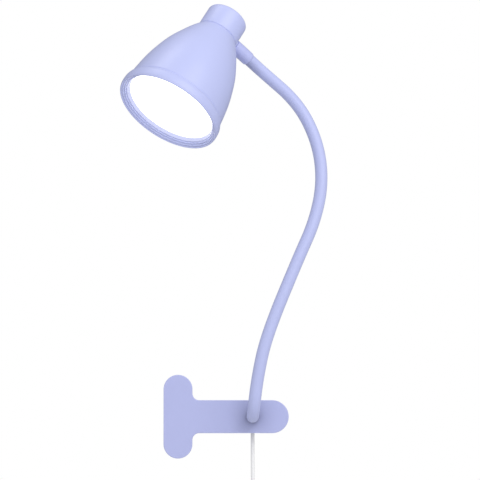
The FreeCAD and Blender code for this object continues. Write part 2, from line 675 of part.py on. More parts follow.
# ---------------------------------------------------------------- cord from the clip
cy = num(d.cord_y)
elbow = tube([(nx, 2.25, 0), (nx, cy, 0), (nx, cy, -11.0)], [5.2], num(d.elbow_radius))
elbow = elbow.fuse(Part.makeCylinder(4.4, 1.4, V(nx, 2.25, 0), V(0, 1, 0)))
node(coded("cord_elbow", elbow))

hr, hz = num(d.hank_radius), num(d.hank_z)
cord_r = num(d.cord_radius)
fall = Part.makeCylinder(cord_r, 53.5, V(nx, cy, -11.0), V(0, 0, -1))
top_relief = num(d.box_top) + 14.0
tail = Part.makeCylinder(cord_r, -top_relief - 104.0, V(nx, cy, -104.0), V(0, 0, -1))
node(coded("lamp_cord", Part.Compound([fall, tail])))


def coil_ring(y, radial, axial):
    """The wound cord's outer shape: a ring of rounded section, upright, its axis along Y."""
    ring = Part.makeCylinder(hr + radial, 2 * axial, V(nx, y - axial, hz), V(0, 1, 0)).cut(
        Part.makeCylinder(hr - radial, 2 * axial, V(nx, y - axial, hz), V(0, 1, 0)))
    return ring.makeFillet(1.3, ring.Edges)


node(coded("lamp_cord_coil", coil_ring(cy, 3.1, 4.6)))
y_b = cy + 4.6 + 0.3 + 4.6
node(coded("usb_cord_coil", coil_ring(y_b, 4.6, 4.6)))

# a strap round both coils, left of where the cord runs in
tie_from, tie_to = cy - 4.6 - 1.5, y_b + 4.6 + 1.5
tie_outer = Part.makeBox(8.0, tie_to - tie_from, 12.6, V(-4.0, tie_from, hr - 6.3))
tie_inner = Part.makeBox(8.0, tie_to - tie_from - 2.6, 10.0, V(-4.0, tie_from + 1.3, hr - 5.0))
tie = tie_outer.makeFillet(1.6, [e for e in tie_outer.Edges if e.BoundBox.XLength > 7]).cut(tie_inner)
tie.rotate(V(0, 0, 0), V(0, 1, 0), -26.0)
tie.translate(V(nx, 0, hz))
node(coded("cord_tie", tie))

# ---------------------------------------------------------------- inline controller
bw_, bl, bd, wl = d.box_width, d.box_length, d.box_depth, d.box_wall
bt = num(d.box_top)
bb = bt - num(bl)
y0 = cy - num(bd) / 2


def shell_half(name, front_side):
    ya = y0 if front_side else cy
    blank = box(name + "_blank", bw_, bd / 2, bl, (nx - num(bw_) / 2, ya, bb))
    edge_y = y0 if front_side else y0 + num(bd)
    r1 = rounded(name + "_corners", blank, 4.5, lambda e: e.BoundBox.YLength > 5)
    r2 = rounded(name + "_rim", r1, 2.2, lambda e: abs(e.BoundBox.YMin - edge_y) < 1e-3 and abs(e.BoundBox.YMax - edge_y) < 1e-3)
    cav = box(name + "_cavity", bw_ - 2 * wl, bd / 2 - wl, bl - 2 * wl,
              (nx - num(bw_) / 2 + num(wl), (ya + num(wl)) if front_side else cy, bb + num(wl)))
    cav_r = rounded(name + "_cavity_corners", cav, 3.0, lambda e: e.BoundBox.YLength > 4)
    return r2, cav_r


button_names = ["button_brighter", "button_mode", "button_dimmer", "button_power"]
button_z = [bb + num(d.button_first) + num(d.button_pitch) * i for i in range(4)]
dot_z = button_z[3] + 7.8
blank, cavity = shell_half("front_half", True)
holes = [cylinder("button_hole_%d" % i, d.button_radius + 0.15, 4.0, along((nx, y0 - 1, z), (0, 1, 0))) for i, z in enumerate(button_z)]
holes.append(cylinder("dot_hole", 0.85, 4.0, along((nx, y0 - 1, dot_z), (0, 1, 0))))
open_front = cut("front_half_open", blank, cavity, *holes)
boss_z = [bt - 3.9, bb + 3.9]
bosses = [cylinder("front_boss_%d" % i, 2.3, 5.0, along((nx + (8.2 if i == 0 else -8.2), y0 + 1.0, z), (0, 1, 0))) for i, z in enumerate(boss_z)]
front_half = fuse("front_half_bosses", open_front, *bosses)
node(cut("controller_front_shell", front_half,
         *[cylinder("front_boss_bore_%d" % i, 0.9, 4.0, along((nx + (8.2 if i == 0 else -8.2), y0 + 2.2, z), (0, 1, 0))) for i, z in enumerate(boss_z)]))
blank, cavity = shell_half("back_half", False)
open_back = cut("back_half_open", blank, cavity)
posts_b = [cylinder("back_post_%d" % i, 2.3, 4.9, along((nx + (8.2 if i == 0 else -8.2), y0 + num(bd) - 1.0, z), (0, -1, 0))) for i, z in enumerate(boss_z)]
back_half = fuse("back_half_posts", open_back, *posts_b)
node(cut("controller_back_shell", back_half,
         *([cylinder("back_post_bore_%d" % i, 1.1, 20.0, along((nx + (8.2 if i == 0 else -8.2), y0 + num(bd) + 1, z), (0, -1, 0))) for i, z in enumerate(boss_z)]
           + [cylinder("back_post_sink_%d" % i, 1.9, 2.0, along((nx + (8.2 if i == 0 else -8.2), y0 + num(bd), z), (0, -1, 0))) for i, z in enumerate(boss_z)])))
scr = []
for i, z in enumerate(boss_z):
    x = nx + (8.2 if i == 0 else -8.2)
    scr.append(fuse("box_screw_%d" % i, cylinder("box_screw_head_%d" % i, 1.8, 1.2, along((x, y0 + num(bd) - 0.8, z), (0, -1, 0))),
                    cylinder("box_screw_shank_%d" % i, 0.88, 7.6, along((x, y0 + num(bd) - 1.9, z), (0, -1, 0)))))
node(group("controller_screws", *scr))
board_y = y0 + 6.6
node(box("controller_board", 20.0, 1.2, bl - 14.6, (nx - 10.0, board_y, bb + 7.4)))
node(group("tact_switches", *[fuse("tact_%d" % i, box("tact_body_%d" % i, 6.0, 1.8, 6.0, (nx - 3.0, board_y - 1.8, z - 3.0)),
                                   cylinder("tact_plunger_%d" % i, 1.6, 0.8, along((nx, board_y - 1.7, z), (0, -1, 0))))
                              for i, z in enumerate(button_z)]))
lens = fuse("indicator_lens", cylinder("dot_face", 0.82, 1.6, along((nx, y0 + 0.02, dot_z), (0, 1, 0))),
            cylinder("dot_foot", 1.4, board_y - y0 - 1.55, along((nx, y0 + 1.52, dot_z), (0, 1, 0))))
node(lens)
tr = num(d.button_travel)
for name, z in zip(button_names, button_z):
    face = rounded(name + "_face", cylinder(name + "_cap", d.button_radius, 2.45, along((nx, y0 - 0.85, z), (0, 1, 0))), 0.35,
                   lambda e: abs(e.BoundBox.YMax - (y0 - 0.85)) < 1e-3)
    node(fuse(name, face, cylinder(name + "_flange", d.button_radius + 0.6, 0.9, along((nx, y0 + 1.55, z), (0, 1, 0))),
              cylinder(name + "_nub", 1.5, board_y - 2.5 - tr - 0.12 - (y0 + 2.3), along((nx, y0 + 2.3, z), (0, 1, 0)))))


def relief(name, at):
    """A ribbed strain relief, 14 long, thick end at the start."""
    pts = [(0.0, 0.0), (3.5, 0.0), (3.5, 2.6), (2.5, 2.9), (2.5, 4.0), (3.3, 4.3), (3.3, 6.0), (2.4, 6.3),
           (2.4, 7.4), (3.05, 7.7), (3.05, 9.3), (2.3, 9.6), (2.3, 10.7), (2.8, 11.0), (2.8, 13.2), (2.3, 14.0), (0.0, 14.0)]
    node(turned(name, pts), at)


relief("controller_relief_lamp", along((nx, cy, bt), (0, 0, 1)))
relief("controller_relief_usb", Placement(V(nx, cy, bb), Rotation(V(1, 0, 0), 180)))

# ---------------------------------------------------------------- usb lead, plug and adapter
px, py = num(d.plug_x), num(d.plug_y)
low = bb - 14.0
at_z = num(d.adapter_top)
route = [(nx, cy, low), (nx + 0.3, cy, low - 9.0), (nx + 7.5, cy + 0.6, low - 17.5), (nx + 17.5, cy + 1.4, low - 14.0),
         (nx + 21.8, cy + 2.2, low + 1.0), (nx + 22.6, cy + 2.6, low + 26.0), (nx + 21.8, cy + 3.8, low + 56.0),
         (nx + 22.0, cy + 6.2, low + 86.0), (nx + 20.4, y_b - 0.6, low + 108.0), (nx + 17.4, y_b, hz - 8.0)]
radii = free_radii(route)
print("usb lead radii", [round(r, 1) for r in radii])
up = tube(route, radii, cord_r)
plug_top = at_z + 1.0 + 22.0 + 14.0
drop = [(nx - 17.0, y_b, hz - 9.0), (nx - 16.6, y_b + 1.6, hz - 17.0), (px + 0.4, py - 4.6, hz - 27.5), (px, py, plug_top + 6.0), (px, py, plug_top)]
radii = free_radii(drop)
print("usb tail radii", [round(r, 1) for r in radii])
down = tube(drop, radii, cord_r)
node(coded("usb_cord", Part.Compound([up, down])))
relief_at = Placement(V(px, py, at_z + 23.0), Rotation())
mould = rounded("plug_mould_round", box("plug_mould", 15.4, 7.6, 22.0, (px - 7.7, py - 3.8, at_z + 1.0)), 2.4,
                lambda e: e.BoundBox.ZLength > 10)
ribs = turned("plug_ribs", [(0.0, 0.0), (3.5, 0.0), (3.5, 2.6), (2.5, 2.9), (2.5, 4.0), (3.3, 4.3), (3.3, 6.0), (2.4, 6.3),
                            (2.4, 7.4), (3.05, 7.7), (3.05, 9.3), (2.3, 9.6), (2.3, 10.7), (2.8, 11.0), (2.8, 13.2),
                            (2.3, 14.0), (0.0, 14.0)], relief_at)
node(fuse("usb_plug_grip", mould, ribs))
shell_out = box("usb_shell_out", 12.0, 4.5, 12.0, (px - 6.0, py - 2.25, at_z - 11.0))
shell_in = box("usb_shell_in", 11.4, 3.9, 13.0, (px - 5.7, py - 1.95, at_z - 12.0))
windows = [box("usb_window_%d" % i, 2.2, 1.0, 2.4, (px + x - 1.1, py - 2.6, at_z - 5.4)) for i, x in enumerate((-2.9, 2.9))]
node(cut("usb_plug_shell", shell_out, shell_in, *windows))
node(box("usb_plug_tongue", 11.3, 1.8, 11.0, (px - 5.65, py + 0.13, at_z - 10.0)))

aw, ad, al = d.adapter_width, d.adapter_depth, d.adapter_length
blank = box("adapter_blank", aw, ad, al - 3.0, (px - num(aw) / 2, py - num(ad) / 2, at_z - num(al) + 3.0))
blank = rounded("adapter_sides", blank, 4.5, lambda e: e.BoundBox.ZLength > 30)
blank = rounded("adapter_top", blank, 2.0, lambda e: abs(e.BoundBox.ZMin - at_z) < 1e-3)
hollow = box("adapter_hollow", aw - 3.6, ad - 3.6, al - 4.8, (px - num(aw) / 2 + 1.8, py - num(ad) / 2 + 1.8, at_z - num(al) + 2.999))
port = box("adapter_port", 12.8, 5.3, 6.0, (px - 6.4, py - 2.65, at_z - 4.0))
node(cut("adapter_case", blank, hollow, port))
base = box("adapter_base", aw, ad, 3.0, (px - num(aw) / 2, py - num(ad) / 2, at_z - num(al)))
base = rounded("adapter_base_sides", base, 4.5, lambda e: e.BoundBox.ZLength > 2.5)
slots = [box("blade_slot_%d" % i, 1.52, 6.42, 8.0, (px + sx * num(d.blade_gap) / 2 - 0.76, py - 3.21, at_z - num(al) - 2)) for i, sx in enumerate((-1, 1))]
node(cut("adapter_end_plate", base, *slots))
blades = [box("blade_%d" % i, 1.5, 6.4, d.blade_length + 8.0,
              (px + sx * num(d.blade_gap) / 2 - 0.75, py - 3.2, at_z - num(al) - num(d.blade_length))) for i, sx in enumerate((-1, 1))]
rb = []
for i, b in enumerate(blades):
    zb = at_z - num(al) - num(d.blade_length)
    rb.append(rounded("blade_round_%d" % i, b, 1.6, lambda e: abs(e.BoundBox.ZMin - zb) < 1e-3 and abs(e.BoundBox.ZMax - zb) < 1e-3 and e.BoundBox.XLength > 1 and e.BoundBox.YLength < 1))
drill = [cylinder("blade_hole_%d" % i, 1.5, 4.0, along((px + sx * num(d.blade_gap) / 2 - 2, py, at_z - num(al) - num(d.blade_length) + 4.2), (1, 0, 0))) for i, sx in enumerate((-1, 1))]
node(group("adapter_blades", *[cut("blade_drilled_%d" % i, rb[i], drill[i]) for i in range(2)]))
sock_out = box("socket_out", 14.0, 6.5, 12.6, (px - 7.0, py - 3.25, at_z - 1.8 - 12.6))
sock_in = box("socket_in", 12.6, 5.1, 12.0, (px - 6.3, py - 2.55, at_z - 1.8 - 11.8))
node(cut("adapter_usb_socket", sock_out, sock_in))
node(box("adapter_board", 26.0, 1.4, 26.0, (px - 13.0, py + 3.4, at_z - num(al) + 9.0)))

# ---------------------------------------------------------------- check, then write
doc.recompute()
bad = [o.Name for o in doc.Objects if "Invalid" in o.State or "Error" in o.State]
for o in nodes:
    if o.Shape.isNull() or not o.Shape.isValid() or not o.Shape.Solids:
        bad.append(o.Label + " shape")
if bad:
    raise RuntimeError("failed: %s" % bad)
names = [o.Label for o in nodes]
if len(set(names)) != len(names) or len(names) > 60:
    raise RuntimeError("node names: %d" % len(names))
os.makedirs("parts", exist_ok=True)
for o in nodes:
    o.Shape.exportStep("parts/%s.step" % o.Label)
print(len(nodes), "nodes written")
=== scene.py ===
"""Clip-on reading lamp: detailed pieces, materials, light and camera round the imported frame."""
import bpy
import bmesh
import json
import math
from mathutils import Vector, Matrix


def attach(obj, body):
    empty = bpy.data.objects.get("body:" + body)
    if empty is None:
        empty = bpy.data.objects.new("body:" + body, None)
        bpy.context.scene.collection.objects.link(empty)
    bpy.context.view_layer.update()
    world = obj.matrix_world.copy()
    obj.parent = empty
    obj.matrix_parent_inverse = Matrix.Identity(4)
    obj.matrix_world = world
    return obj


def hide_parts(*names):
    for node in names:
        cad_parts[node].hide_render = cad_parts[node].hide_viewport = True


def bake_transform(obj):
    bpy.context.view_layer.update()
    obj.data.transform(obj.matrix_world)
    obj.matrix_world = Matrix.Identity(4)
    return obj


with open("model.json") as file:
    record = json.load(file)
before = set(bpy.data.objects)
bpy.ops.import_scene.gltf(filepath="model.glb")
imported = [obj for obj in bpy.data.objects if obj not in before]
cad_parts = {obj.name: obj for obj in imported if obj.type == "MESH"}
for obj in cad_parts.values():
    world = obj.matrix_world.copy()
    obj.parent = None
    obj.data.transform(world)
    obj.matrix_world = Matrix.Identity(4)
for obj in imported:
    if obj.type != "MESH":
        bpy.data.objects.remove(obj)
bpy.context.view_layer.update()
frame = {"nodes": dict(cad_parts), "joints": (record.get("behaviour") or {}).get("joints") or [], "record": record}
nodes = frame["nodes"]
scene = bpy.context.scene
MM = 0.001

# ------------------------------------------------------------------ camera
AIM = Vector((0.0494, 0.0, 0.1411))
EYE = Vector((0.0494, -2.5, 0.005))
FRAME_WIDTH = 0.384
SENSOR = 36.0
cam_data = bpy.data.cameras.new("camera")
cam_data.sensor_width = SENSOR
cam_data.lens = SENSOR * (AIM - EYE).length / FRAME_WIDTH
cam_data.clip_start, cam_data.clip_end = 0.05, 60.0
camera = bpy.data.objects.new("camera", cam_data)
scene.collection.objects.link(camera)
camera.location = EYE
camera.rotation_mode = "QUATERNION"
camera.rotation_quaternion = (AIM - EYE).to_track_quat("-Z", "Y")
scene.camera = camera


# ------------------------------------------------------------------ materials
MOTTLE_SCALE = 25.0
ROUGH_SPREAD = 0.08
BUMP_DISTANCE = 0.0002


def srgb(r, g, b):
    """Linear colour from display values of 0 to 255."""
    out = []
    for c in (r, g, b):
        c = c / 255.0
        out.append(c / 12.92 if c <= 0.04045 else ((c + 0.055) / 1.055) ** 2.4)
    return (*out, 1.0)


def principled(name):
    """A new material with its node tree and its main shader."""
    m = bpy.data.materials.new(name)
    m.use_nodes = True
    tree = m.node_tree
    bsdf = [n for n in tree.nodes if n.type == "BSDF_PRINCIPLED"][0]
    return m, tree, bsdf


def finish_surface(name, colour, rough, bump=0.1, grain=900.0, mottle=0.04, metallic=0.0, coat=0.0,
                   coat_rough=0.2, sheen=0.0, stretch=(1.0, 1.0, 1.0), emission=None, strength=0.0,
                   painted_shade_reach=0.0):
    """A moulded, painted or metal surface: colour mottle, uneven roughness and fine grain.
    Its last argument, a reach in metres, paints shade into the colour where another surface stands that close."""
    m, tree, bsdf = principled(name)
    new, link = tree.nodes.new, tree.links.new
    coord = new("ShaderNodeTexCoord")
    mapping = new("ShaderNodeMapping")
    mapping.inputs["Scale"].default_value = stretch
    link(coord.outputs["Object"], mapping.inputs["Vector"])
    broad = new("ShaderNodeTexNoise")
    broad.inputs["Scale"].default_value = MOTTLE_SCALE
    broad.inputs["Detail"].default_value = 4.0
    link(mapping.outputs["Vector"], broad.inputs["Vector"])
    fine = new("ShaderNodeTexNoise")
    fine.inputs["Scale"].default_value = grain
    fine.inputs["Detail"].default_value = 3.0
    link(mapping.outputs["Vector"], fine.inputs["Vector"])
    ramp = new("ShaderNodeMix")
    ramp.data_type = "RGBA"
    ramp.inputs[6].default_value = tuple(c * (1 - mottle) for c in colour[:3]) + (1.0,)
    ramp.inputs[7].default_value = tuple(min(1.0, c * (1 + mottle)) for c in colour[:3]) + (1.0,)
    link(broad.outputs["Fac"], ramp.inputs[0])
    out_colour = ramp.outputs[2]
    # painted shade: ambient occlusion darkens the base colour where other surfaces stand close
    if painted_shade_reach > 0:
        near = new("ShaderNodeAmbientOcclusion")
        near.inputs["Distance"].default_value = painted_shade_reach
        link(out_colour, near.inputs["Color"])
        out_colour = near.outputs["Color"]
    link(out_colour, bsdf.inputs["Base Color"])
    rough_range = new("ShaderNodeMapRange")
    rough_range.inputs["To Min"].default_value = max(0.02, rough - ROUGH_SPREAD)
    rough_range.inputs["To Max"].default_value = min(1.0, rough + ROUGH_SPREAD)
    link(fine.outputs["Fac"], rough_range.inputs["Value"])
    link(rough_range.outputs["Result"], bsdf.inputs["Roughness"])
    relief = new("ShaderNodeBump")
    relief.inputs["Strength"].default_value = bump
    relief.inputs["Distance"].default_value = BUMP_DISTANCE
    link(fine.outputs["Fac"], relief.inputs["Height"])
    link(relief.outputs["Normal"], bsdf.inputs["Normal"])
    bsdf.inputs["Metallic"].default_value = metallic
    bsdf.inputs["Coat Weight"].default_value = coat
    bsdf.inputs["Coat Roughness"].default_value = coat_rough
    bsdf.inputs["Sheen Weight"].default_value = sheen
    if emission is not None:
        bsdf.inputs["Emission Color"].default_value = emission
        bsdf.inputs["Emission Strength"].default_value = strength
    return m


LAVENDER = srgb(187, 194, 238)
LAVENDER_PLATE = srgb(184, 190, 236)
LOOKS = {
    "lavender_metal": dict(colour=LAVENDER_PLATE, rough=0.42, bump=0.12, grain=2600, mottle=0.015,
                           coat=0.15, coat_rough=0.3),
    # the jaw plates' paint, with painted contact shade, darkest around the foot of the neck
    "plate_paint_painted_shade": dict(colour=LAVENDER_PLATE, rough=0.42, bump=0.12, grain=2600, mottle=0.015, coat=0.15,
                        coat_rough=0.3, painted_shade_reach=0.017),
    "lavender_plastic": dict(colour=LAVENDER, rough=0.38, bump=0.06, grain=1800, mottle=0.012, coat=0.11,
                             coat_rough=0.27),
    # painted light: a faint warm glow on the bevel, standing in for the disc's light falling on it
    "bevel_painted_glow": dict(colour=LAVENDER, rough=0.38, bump=0.06, grain=1800, mottle=0.012,
                      emission=(1.0, 0.95, 0.7, 1.0), strength=0.14),
    # painted shade on the sleeve where it runs close to other parts
    "lavender_sleeve": dict(colour=LAVENDER, rough=0.42, bump=0.10, grain=1500, mottle=0.02, sheen=0.1,
                            painted_shade_reach=0.03),
    "pad_silicone": dict(colour=srgb(214, 217, 238), rough=0.55, bump=0.2, grain=1400, mottle=0.03,
                         sheen=0.2),
    "bright_steel": dict(colour=srgb(206, 207, 212), rough=0.20, bump=0.08, grain=900, mottle=0.04,
                         metallic=1.0, stretch=(1, 1, 6)),
    "dull_steel": dict(colour=srgb(168, 170, 176), rough=0.38, bump=0.15, grain=700, mottle=0.08,
                       metallic=1.0, stretch=(6, 1, 1)),
    "opal_diffuser": dict(colour=srgb(250, 250, 252), rough=0.45, bump=0.03, grain=1200, mottle=0.01,
                          emission=(1.0, 1.0, 1.0, 1.0), strength=1.6),
    "white_reflector": dict(colour=srgb(244, 244, 244), rough=0.5, bump=0.05, grain=900),
    "board_aluminium": dict(colour=srgb(200, 203, 206), rough=0.35, bump=0.12, grain=500, mottle=0.05,
                            metallic=0.9),
    "led_phosphor": dict(colour=srgb(244, 214, 90), rough=0.4, bump=0.1, grain=1500,
                         emission=(1.0, 0.9, 0.7, 1.0), strength=0.6),
    "cord_white": dict(colour=srgb(250, 250, 251), rough=0.40, bump=0.12, grain=1600, mottle=0.02),
    "case_white": dict(colour=srgb(240, 240, 242), rough=0.32, bump=0.10, grain=2200, mottle=0.012),
    "button_grey": dict(colour=srgb(206, 206, 210), rough=0.36, bump=0.08, grain=2200, mottle=0.02),
    "circuit_green": dict(colour=srgb(28, 92, 52), rough=0.45, bump=0.25, grain=300, mottle=0.15),
    "switch_black": dict(colour=srgb(26, 26, 28), rough=0.45, bump=0.15, grain=900),
    "tie_white": dict(colour=srgb(222, 222, 224), rough=0.6, bump=0.35, grain=500, mottle=0.05, sheen=0.3),
}
mats = {name: finish_surface(name, **look) for name, look in LOOKS.items()}
slot_of = {s["node"]: s["material_slot"] for s in frame["record"]["subparts"]}
for name, obj in nodes.items():
    obj.data.materials.clear()
    obj.data.materials.append(mats["plate_paint_painted_shade" if name.endswith("jaw_plate") else slot_of[name]])


# ------------------------------------------------------------------ cords
NECK_X, CORD_Y = 59.5, 8.5
CORD_R = 1.5
COIL_Z = -85.0
USB_Y = CORD_Y + 9.5
CASE_BOTTOM, RELIEF_LENGTH = -202.6, 14.0
PLUG_X, PLUG_Y = 44.0, 33.5


def smooth(t):
    """Eases from 0 to 1."""
    t = max(0.0, min(1.0, t))
    return t * t * (3 - 2 * t)


def wound(start, sweep, layers, change_from, change_to, clockwise, y_mid, step=22.5):
    """Turns about the coil's centre.  layers are (radius, depth) for each turn in order; a turn
    moves to its next layer between the two angles, under the tie."""
    pts = []
    count = int(round(abs(sweep) / step))
    for i in range(count + 1):
        a = start + sweep * i / count
        k = math.floor((a - change_to) / 360.0) + 1
        since, span = (a - change_from) % 360.0, change_to - change_from
        part = smooth(since / span) if since < span else 0.0
        r0, y0 = layers[max(0, min(len(layers) - 1, k))]
        r1, y1 = layers[max(0, min(len(layers) - 1, k + 1))]
        r, y = r0 + (r1 - r0) * part, y0 + (y1 - y0) * part
        t = math.radians(a)
        if clockwise:
            pts.append((NECK_X + r * math.sin(t), y_mid + y, COIL_Z + r * math.cos(t)))
        else:
            pts.append((NECK_X + r * math.cos(t), y_mid + y, COIL_Z + r * math.sin(t)))
    return pts


def nurbs_cord(name, points, radius, slot):
    """A round cord along one smooth line, from control points in millimetres."""
    cu = bpy.data.curves.new(name, "CURVE")
    cu.dimensions = "3D"
    sp = cu.splines.new("NURBS")
    sp.points.add(len(points) - 1)
    for p, q in zip(sp.points, points):
        p.co = (q[0] * MM, q[1] * MM, q[2] * MM, 1.0)
    sp.order_u = 3
    sp.use_endpoint_u = True
    sp.resolution_u = 8
    cu.bevel_depth = radius * MM
    cu.bevel_resolution = 6
    cu.use_fill_caps = True
    o = bpy.data.objects.new(name, cu)
    scene.collection.objects.link(o)
    o.data.materials.append(mats[slot])
    return o


lamp_layers = [(18.55, 1.55), (15.45, 3.1), (15.45, 0.0), (15.45, -3.1), (18.55, -1.55)]
lamp_route = [(NECK_X, CORD_Y, -11.0), (NECK_X, CORD_Y, -48.0), (NECK_X + 0.6, 8.9, -60.0),
              (NECK_X + 5.5, 9.7, -66.2)]
lamp_route += wound(45.0, 4 * 360.0 + 82.0, lamp_layers, 300.0, 360.0, True, CORD_Y)
lamp_route += [(NECK_X + 10.6, 7.2, -102.2), (NECK_X + 4.2, 7.9, -108.6), (NECK_X + 0.5, 8.4, -114.5),
               (NECK_X, CORD_Y, -120.0)]
lamp_cord = nurbs_cord("lamp_lead", lamp_route, CORD_R, "cord_white")
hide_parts("lamp_cord", "lamp_cord_coil")
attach(lamp_cord, "clip_front")

usb_layers = [(20.05, 3.1), (17.0, 3.1), (13.95, 3.1), (13.95, 0.0), (13.95, -3.1), (17.0, -3.1),
              (17.0, 0.0), (20.05, 0.0), (20.05, -3.1)]
low = CASE_BOTTOM - RELIEF_LENGTH
usb_route = [(NECK_X + x, y, z) for x, y, z in (
    (0.0, 8.5, low), (0.3, 8.5, low - 9.0), (7.5, 9.1, low - 17.5), (17.5, 9.9, low - 14.0),
    (21.8, 10.7, low + 1.0), (22.6, 11.1, low + 26.0), (21.8, 12.3, low + 56.0), (22.0, 14.7, low + 86.0),
    (21.6, 19.0, low + 106.0))]
usb_route += wound(-30.0, 8 * 360.0 + 205.0, usb_layers, 85.0, 145.0, False, USB_Y)
usb_route += [(39.4, 14.9, -90.5), (40.1, 16.4, -99.0), (42.3, 23.5, -106.5), (44.2, 31.0, -110.5),
              (PLUG_X, PLUG_Y, -115.5), (PLUG_X, PLUG_Y, -122.0)]
usb_cord = nurbs_cord("usb_lead", usb_route, CORD_R, "cord_white")
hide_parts("usb_cord", "usb_cord_coil")
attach(usb_cord, "clip_front")


# ------------------------------------------------------------------ mesh helpers
def mesh_piece(name, bm, body, slot, replaced=(), smooth_angle=35.0):
    """A mesh object from bm, in metres, shaded smooth with its sharp edges kept."""
    bmesh.ops.recalc_face_normals(bm, faces=bm.faces)
    limit = math.radians(smooth_angle)
    for f in bm.faces:
        f.smooth = True
    for e in bm.edges:
        if len(e.link_faces) == 2 and e.calc_face_angle(0.0) > limit:
            e.smooth = False
    me = bpy.data.meshes.new(name)
    bm.to_mesh(me)
    bm.free()
    o = bpy.data.objects.new(name, me)
    scene.collection.objects.link(o)
    me.materials.append(mats[slot])
    if replaced:
        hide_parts(*replaced)
    if body:
        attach(o, body)
    return o


def turned(bm, profile, place, segments=128, closed=True):
    """Adds a surface turned about local Z.  profile is (radius, height) in millimetres;
    place is a 4x4 matrix in millimetres."""
    angles = [2 * math.pi * i / segments for i in range(segments)]
    circle = [(math.cos(a), math.sin(a)) for a in angles]
    rings = []
    for r, z in profile:
        around = circle if r > 0 else [(0.0, 0.0)]
        rings.append([bm.verts.new((place @ Vector((r * x, r * y, z))) * MM) for x, y in around])
    count = len(rings) if closed else len(rings) - 1
    for k in range(count):
        a, b = rings[k], rings[(k + 1) % len(rings)]
        if len(a) == 1 and len(b) == 1:
            continue
        for i in range(segments):
            j = (i + 1) % segments
            if len(a) == 1:
                bm.faces.new((a[0], b[i], b[j]))
            elif len(b) == 1:
                bm.faces.new((a[i], a[j], b[0]))
            else:
                bm.faces.new((a[i], a[j], b[j], b[i]))


def join_rings(bm, rings):
    """Faces from each ring of points to the next."""
    for a, b in zip(rings, rings[1:]):
        for i in range(len(a)):
            j = (i + 1) % len(a)
            bm.faces.new((a[i], a[j], b[j], b[i]))


def axis_matrix(origin, z_axis, x_hint=(1, 0, 0)):
    """Local Z along z_axis, and local X as near x_hint as it goes."""
    z = Vector(z_axis).normalized()
    x = Vector(x_hint)
    x = (x - z * x.dot(z)).normalized()
    y = z.cross(x)
    m = Matrix.Identity(4)
    for i in range(3):
        m[i][0], m[i][1], m[i][2], m[i][3] = x[i], y[i], z[i], origin[i]
    return m


def arc(cx, cy, r, a0, a1, n=6):
    """Points of a circle's arc, from angle a0 to a1 in degrees."""
    return [(cx + r * math.cos(math.radians(a0 + (a1 - a0) * i / n)),
             cy + r * math.sin(math.radians(a0 + (a1 - a0) * i / n))) for i in range(n + 1)]


def through(points, per=8):
    """A smooth line through the points, each slope set by the points on both sides."""
    out = []
    n = len(points)
    for i in range(n - 1):
        p0 = points[i - 1] if i > 0 else tuple(2 * a - b for a, b in zip(points[0], points[1]))
        p1, p2 = points[i], points[i + 1]
        p3 = points[i + 2] if i + 2 < n else tuple(2 * a - b for a, b in zip(points[-1], points[-2]))
        d01 = math.dist(p0, p1)
        d12 = math.dist(p1, p2)
        d23 = math.dist(p2, p3)
        for k in range(per):
            t = k / per
            m1 = [((b - a) / d01 * d12 + (c - b)) / 2 for a, b, c in zip(p0, p1, p2)]
            m2 = [((b - a) + (c - b) / d23 * d12) / 2 for a, b, c in zip(p1, p2, p3)]
            h1, h2 = 2 * t ** 3 - 3 * t ** 2 + 1, t ** 3 - 2 * t ** 2 + t
            h3, h4 = -2 * t ** 3 + 3 * t ** 2, t ** 3 - t ** 2
            out.append(tuple(h1 * a + h2 * u + h3 * b + h4 * v for a, u, b, v in zip(p1, m1, p2, m2)))
    out.append(tuple(points[-1]))
    return out


# ------------------------------------------------------------------ flexible neck
CORNERS = [Vector(p) for p in (
    (NECK_X, -4.0, 0.0), (NECK_X, -30.8, 0.0), (63.3, -30.9, 32.2), (70.7, -28.1, 65.0),
    (95.5, -17.4, 125.2), (108.88, -11.5, 154.9), (115.62, -5.9, 186.85), (111.78, -1.8, 219.3),
    (96.26, 0.2, 251.0), (67.02, -9.85, 275.29), (56.62, -14.98, 284.3))]
HEAD_DIR = (CORNERS[-1] - CORNERS[-2]).normalized()
NECK_R = 4.9
INTO_FERRULE = 7.5
JOINTS = [Vector([v / MM for v in j["pos_m"]]) for j in frame["joints"] if j["name"].startswith("neck_bend")]


def neck_line(step=1.5):
    """The neck's centreline: straight out of the plate, then one smooth curve to the head."""
    straight = 0.36  # of the first leg, before the first bend
    fine = [CORNERS[0] + (CORNERS[1] - CORNERS[0]) * (straight * i / 6) for i in range(6)]
    mids = [CORNERS[0] + (CORNERS[1] - CORNERS[0]) * straight]
    mids += [(CORNERS[i] + CORNERS[i + 1]) / 2 for i in range(1, len(CORNERS) - 1)]
    for i in range(1, len(mids)):
        a, c, b = mids[i - 1], CORNERS[i], mids[i]
        fine += [a * (1 - t) ** 2 + c * (2 * t * (1 - t)) + b * t * t for t in [k / 40 for k in range(40)]]
    fine += [mids[-1] + (CORNERS[-1] + HEAD_DIR * INTO_FERRULE - mids[-1]) * (k / 12) for k in range(13)]
    run = [0.0]
    for a, b in zip(fine, fine[1:]):
        run.append(run[-1] + (b - a).length)
    total = run[-1]
    count = int(total / step)
    out, j = [], 0
    for i in range(count + 1):
        s = total * i / count
        while j < len(run) - 2 and run[j + 1] < s:
            j += 1
        t = (s - run[j]) / max(1e-9, run[j + 1] - run[j])
        out.append(fine[j].lerp(fine[j + 1], t))
    return out


